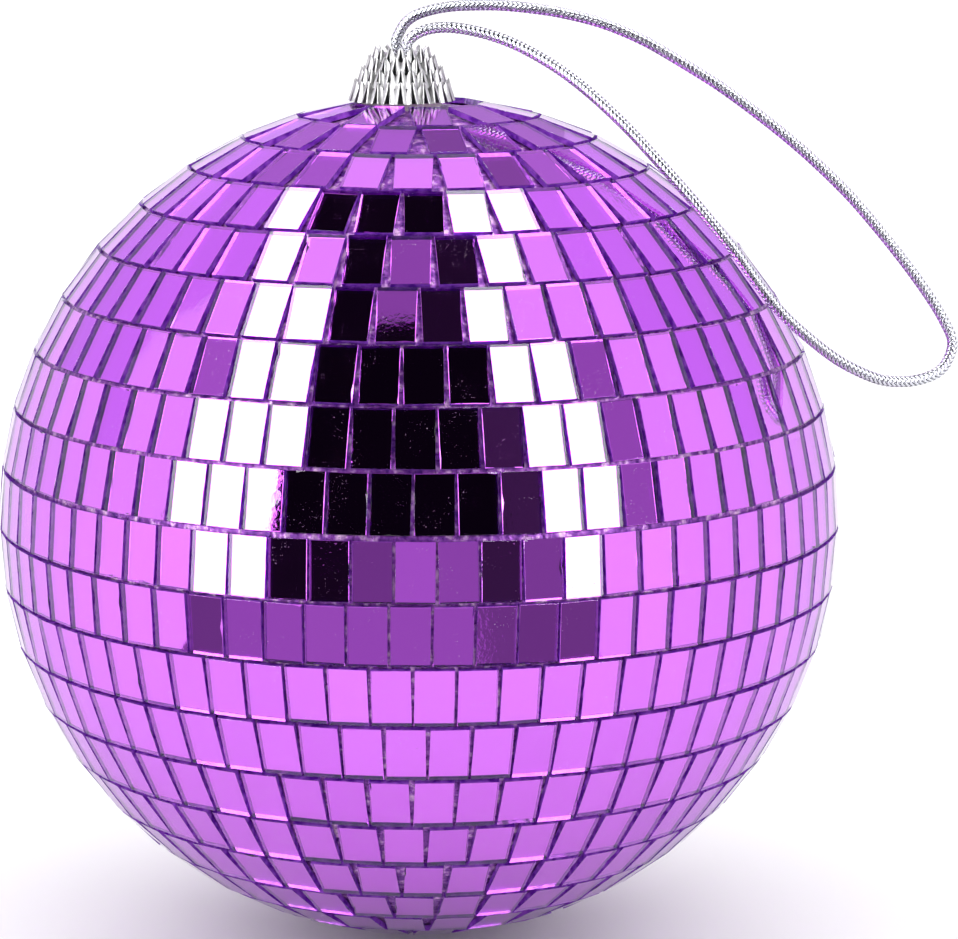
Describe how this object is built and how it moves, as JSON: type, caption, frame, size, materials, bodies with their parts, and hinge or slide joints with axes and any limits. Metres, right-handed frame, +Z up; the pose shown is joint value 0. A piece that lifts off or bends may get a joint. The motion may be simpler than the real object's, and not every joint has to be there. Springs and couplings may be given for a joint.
{
  "type": "mirror ball",
  "caption": "Purple mirror ball: rows of cut mirror tiles on a hollow foam core, with a silver scaled cap and a braided cord loop.",
  "frame": {"origin": "middle of the cap's open mouth, where the cord comes out and the ball hangs; the ball's centre is 3 mm along +X and 84 mm down", "axes": "+Z up through the cap, -Y towards the front of the ball, +X to the side that the cord loop lies on"},
  "size_m": [0.1695, 0.1505, 0.1673],
  "materials": {
    "mirror_tile": "back-silvered glass, tinted purple",
    "backing": "rough adhesive mesh, pinkish silver",
    "foam": "expanded polystyrene beads",
    "silver_cap": "bright silver plating on moulded plastic",
    "silver_cord": "metallic braid",
    "glue": "hot-melt glue"
  },
  "bodies": {
    "ball": {"upper_core": "foam", "lower_core": "foam", "upper_backing": "backing", "lower_backing": "backing", "upper_row_01": "mirror_tile", "upper_row_02": "mirror_tile", "upper_row_03": "mirror_tile", "upper_row_04": "mirror_tile", "upper_row_05": "mirror_tile", "upper_row_06": "mirror_tile", "upper_row_07": "mirror_tile", "upper_row_08": "mirror_tile", "upper_row_09": "mirror_tile", "upper_row_10": "mirror_tile", "lower_row_01": "mirror_tile", "lower_row_02": "mirror_tile", "lower_row_03": "mirror_tile", "lower_row_04": "mirror_tile", "lower_row_05": "mirror_tile", "lower_row_06": "mirror_tile", "lower_row_07": "mirror_tile", "lower_row_08": "mirror_tile", "lower_row_09": "mirror_tile", "lower_row_10": "mirror_tile", "pole_tiles": "mirror_tile", "cap": "silver_cap", "cap_glue": "glue"},
    "cord_ends": {"cord_knot": "silver_cord", "cord_tails": "silver_cord"},
    "cord_loop": {"hanging_cord": "silver_cord"}
  },
  "joints": [
    {"name": "cord_swivel", "type": "hinge", "parent": "ball", "child": "cord_ends", "pos_m": [0, 0, 0], "axis": [0, 0, 1], "continuous": true},
    {"name": "cord_lift", "type": "hinge", "parent": "cord_ends", "child": "cord_loop", "pos_m": [0, 0, 0.0008], "axis": [0, -1, 0], "range_deg": [0, 60]}
  ]
}
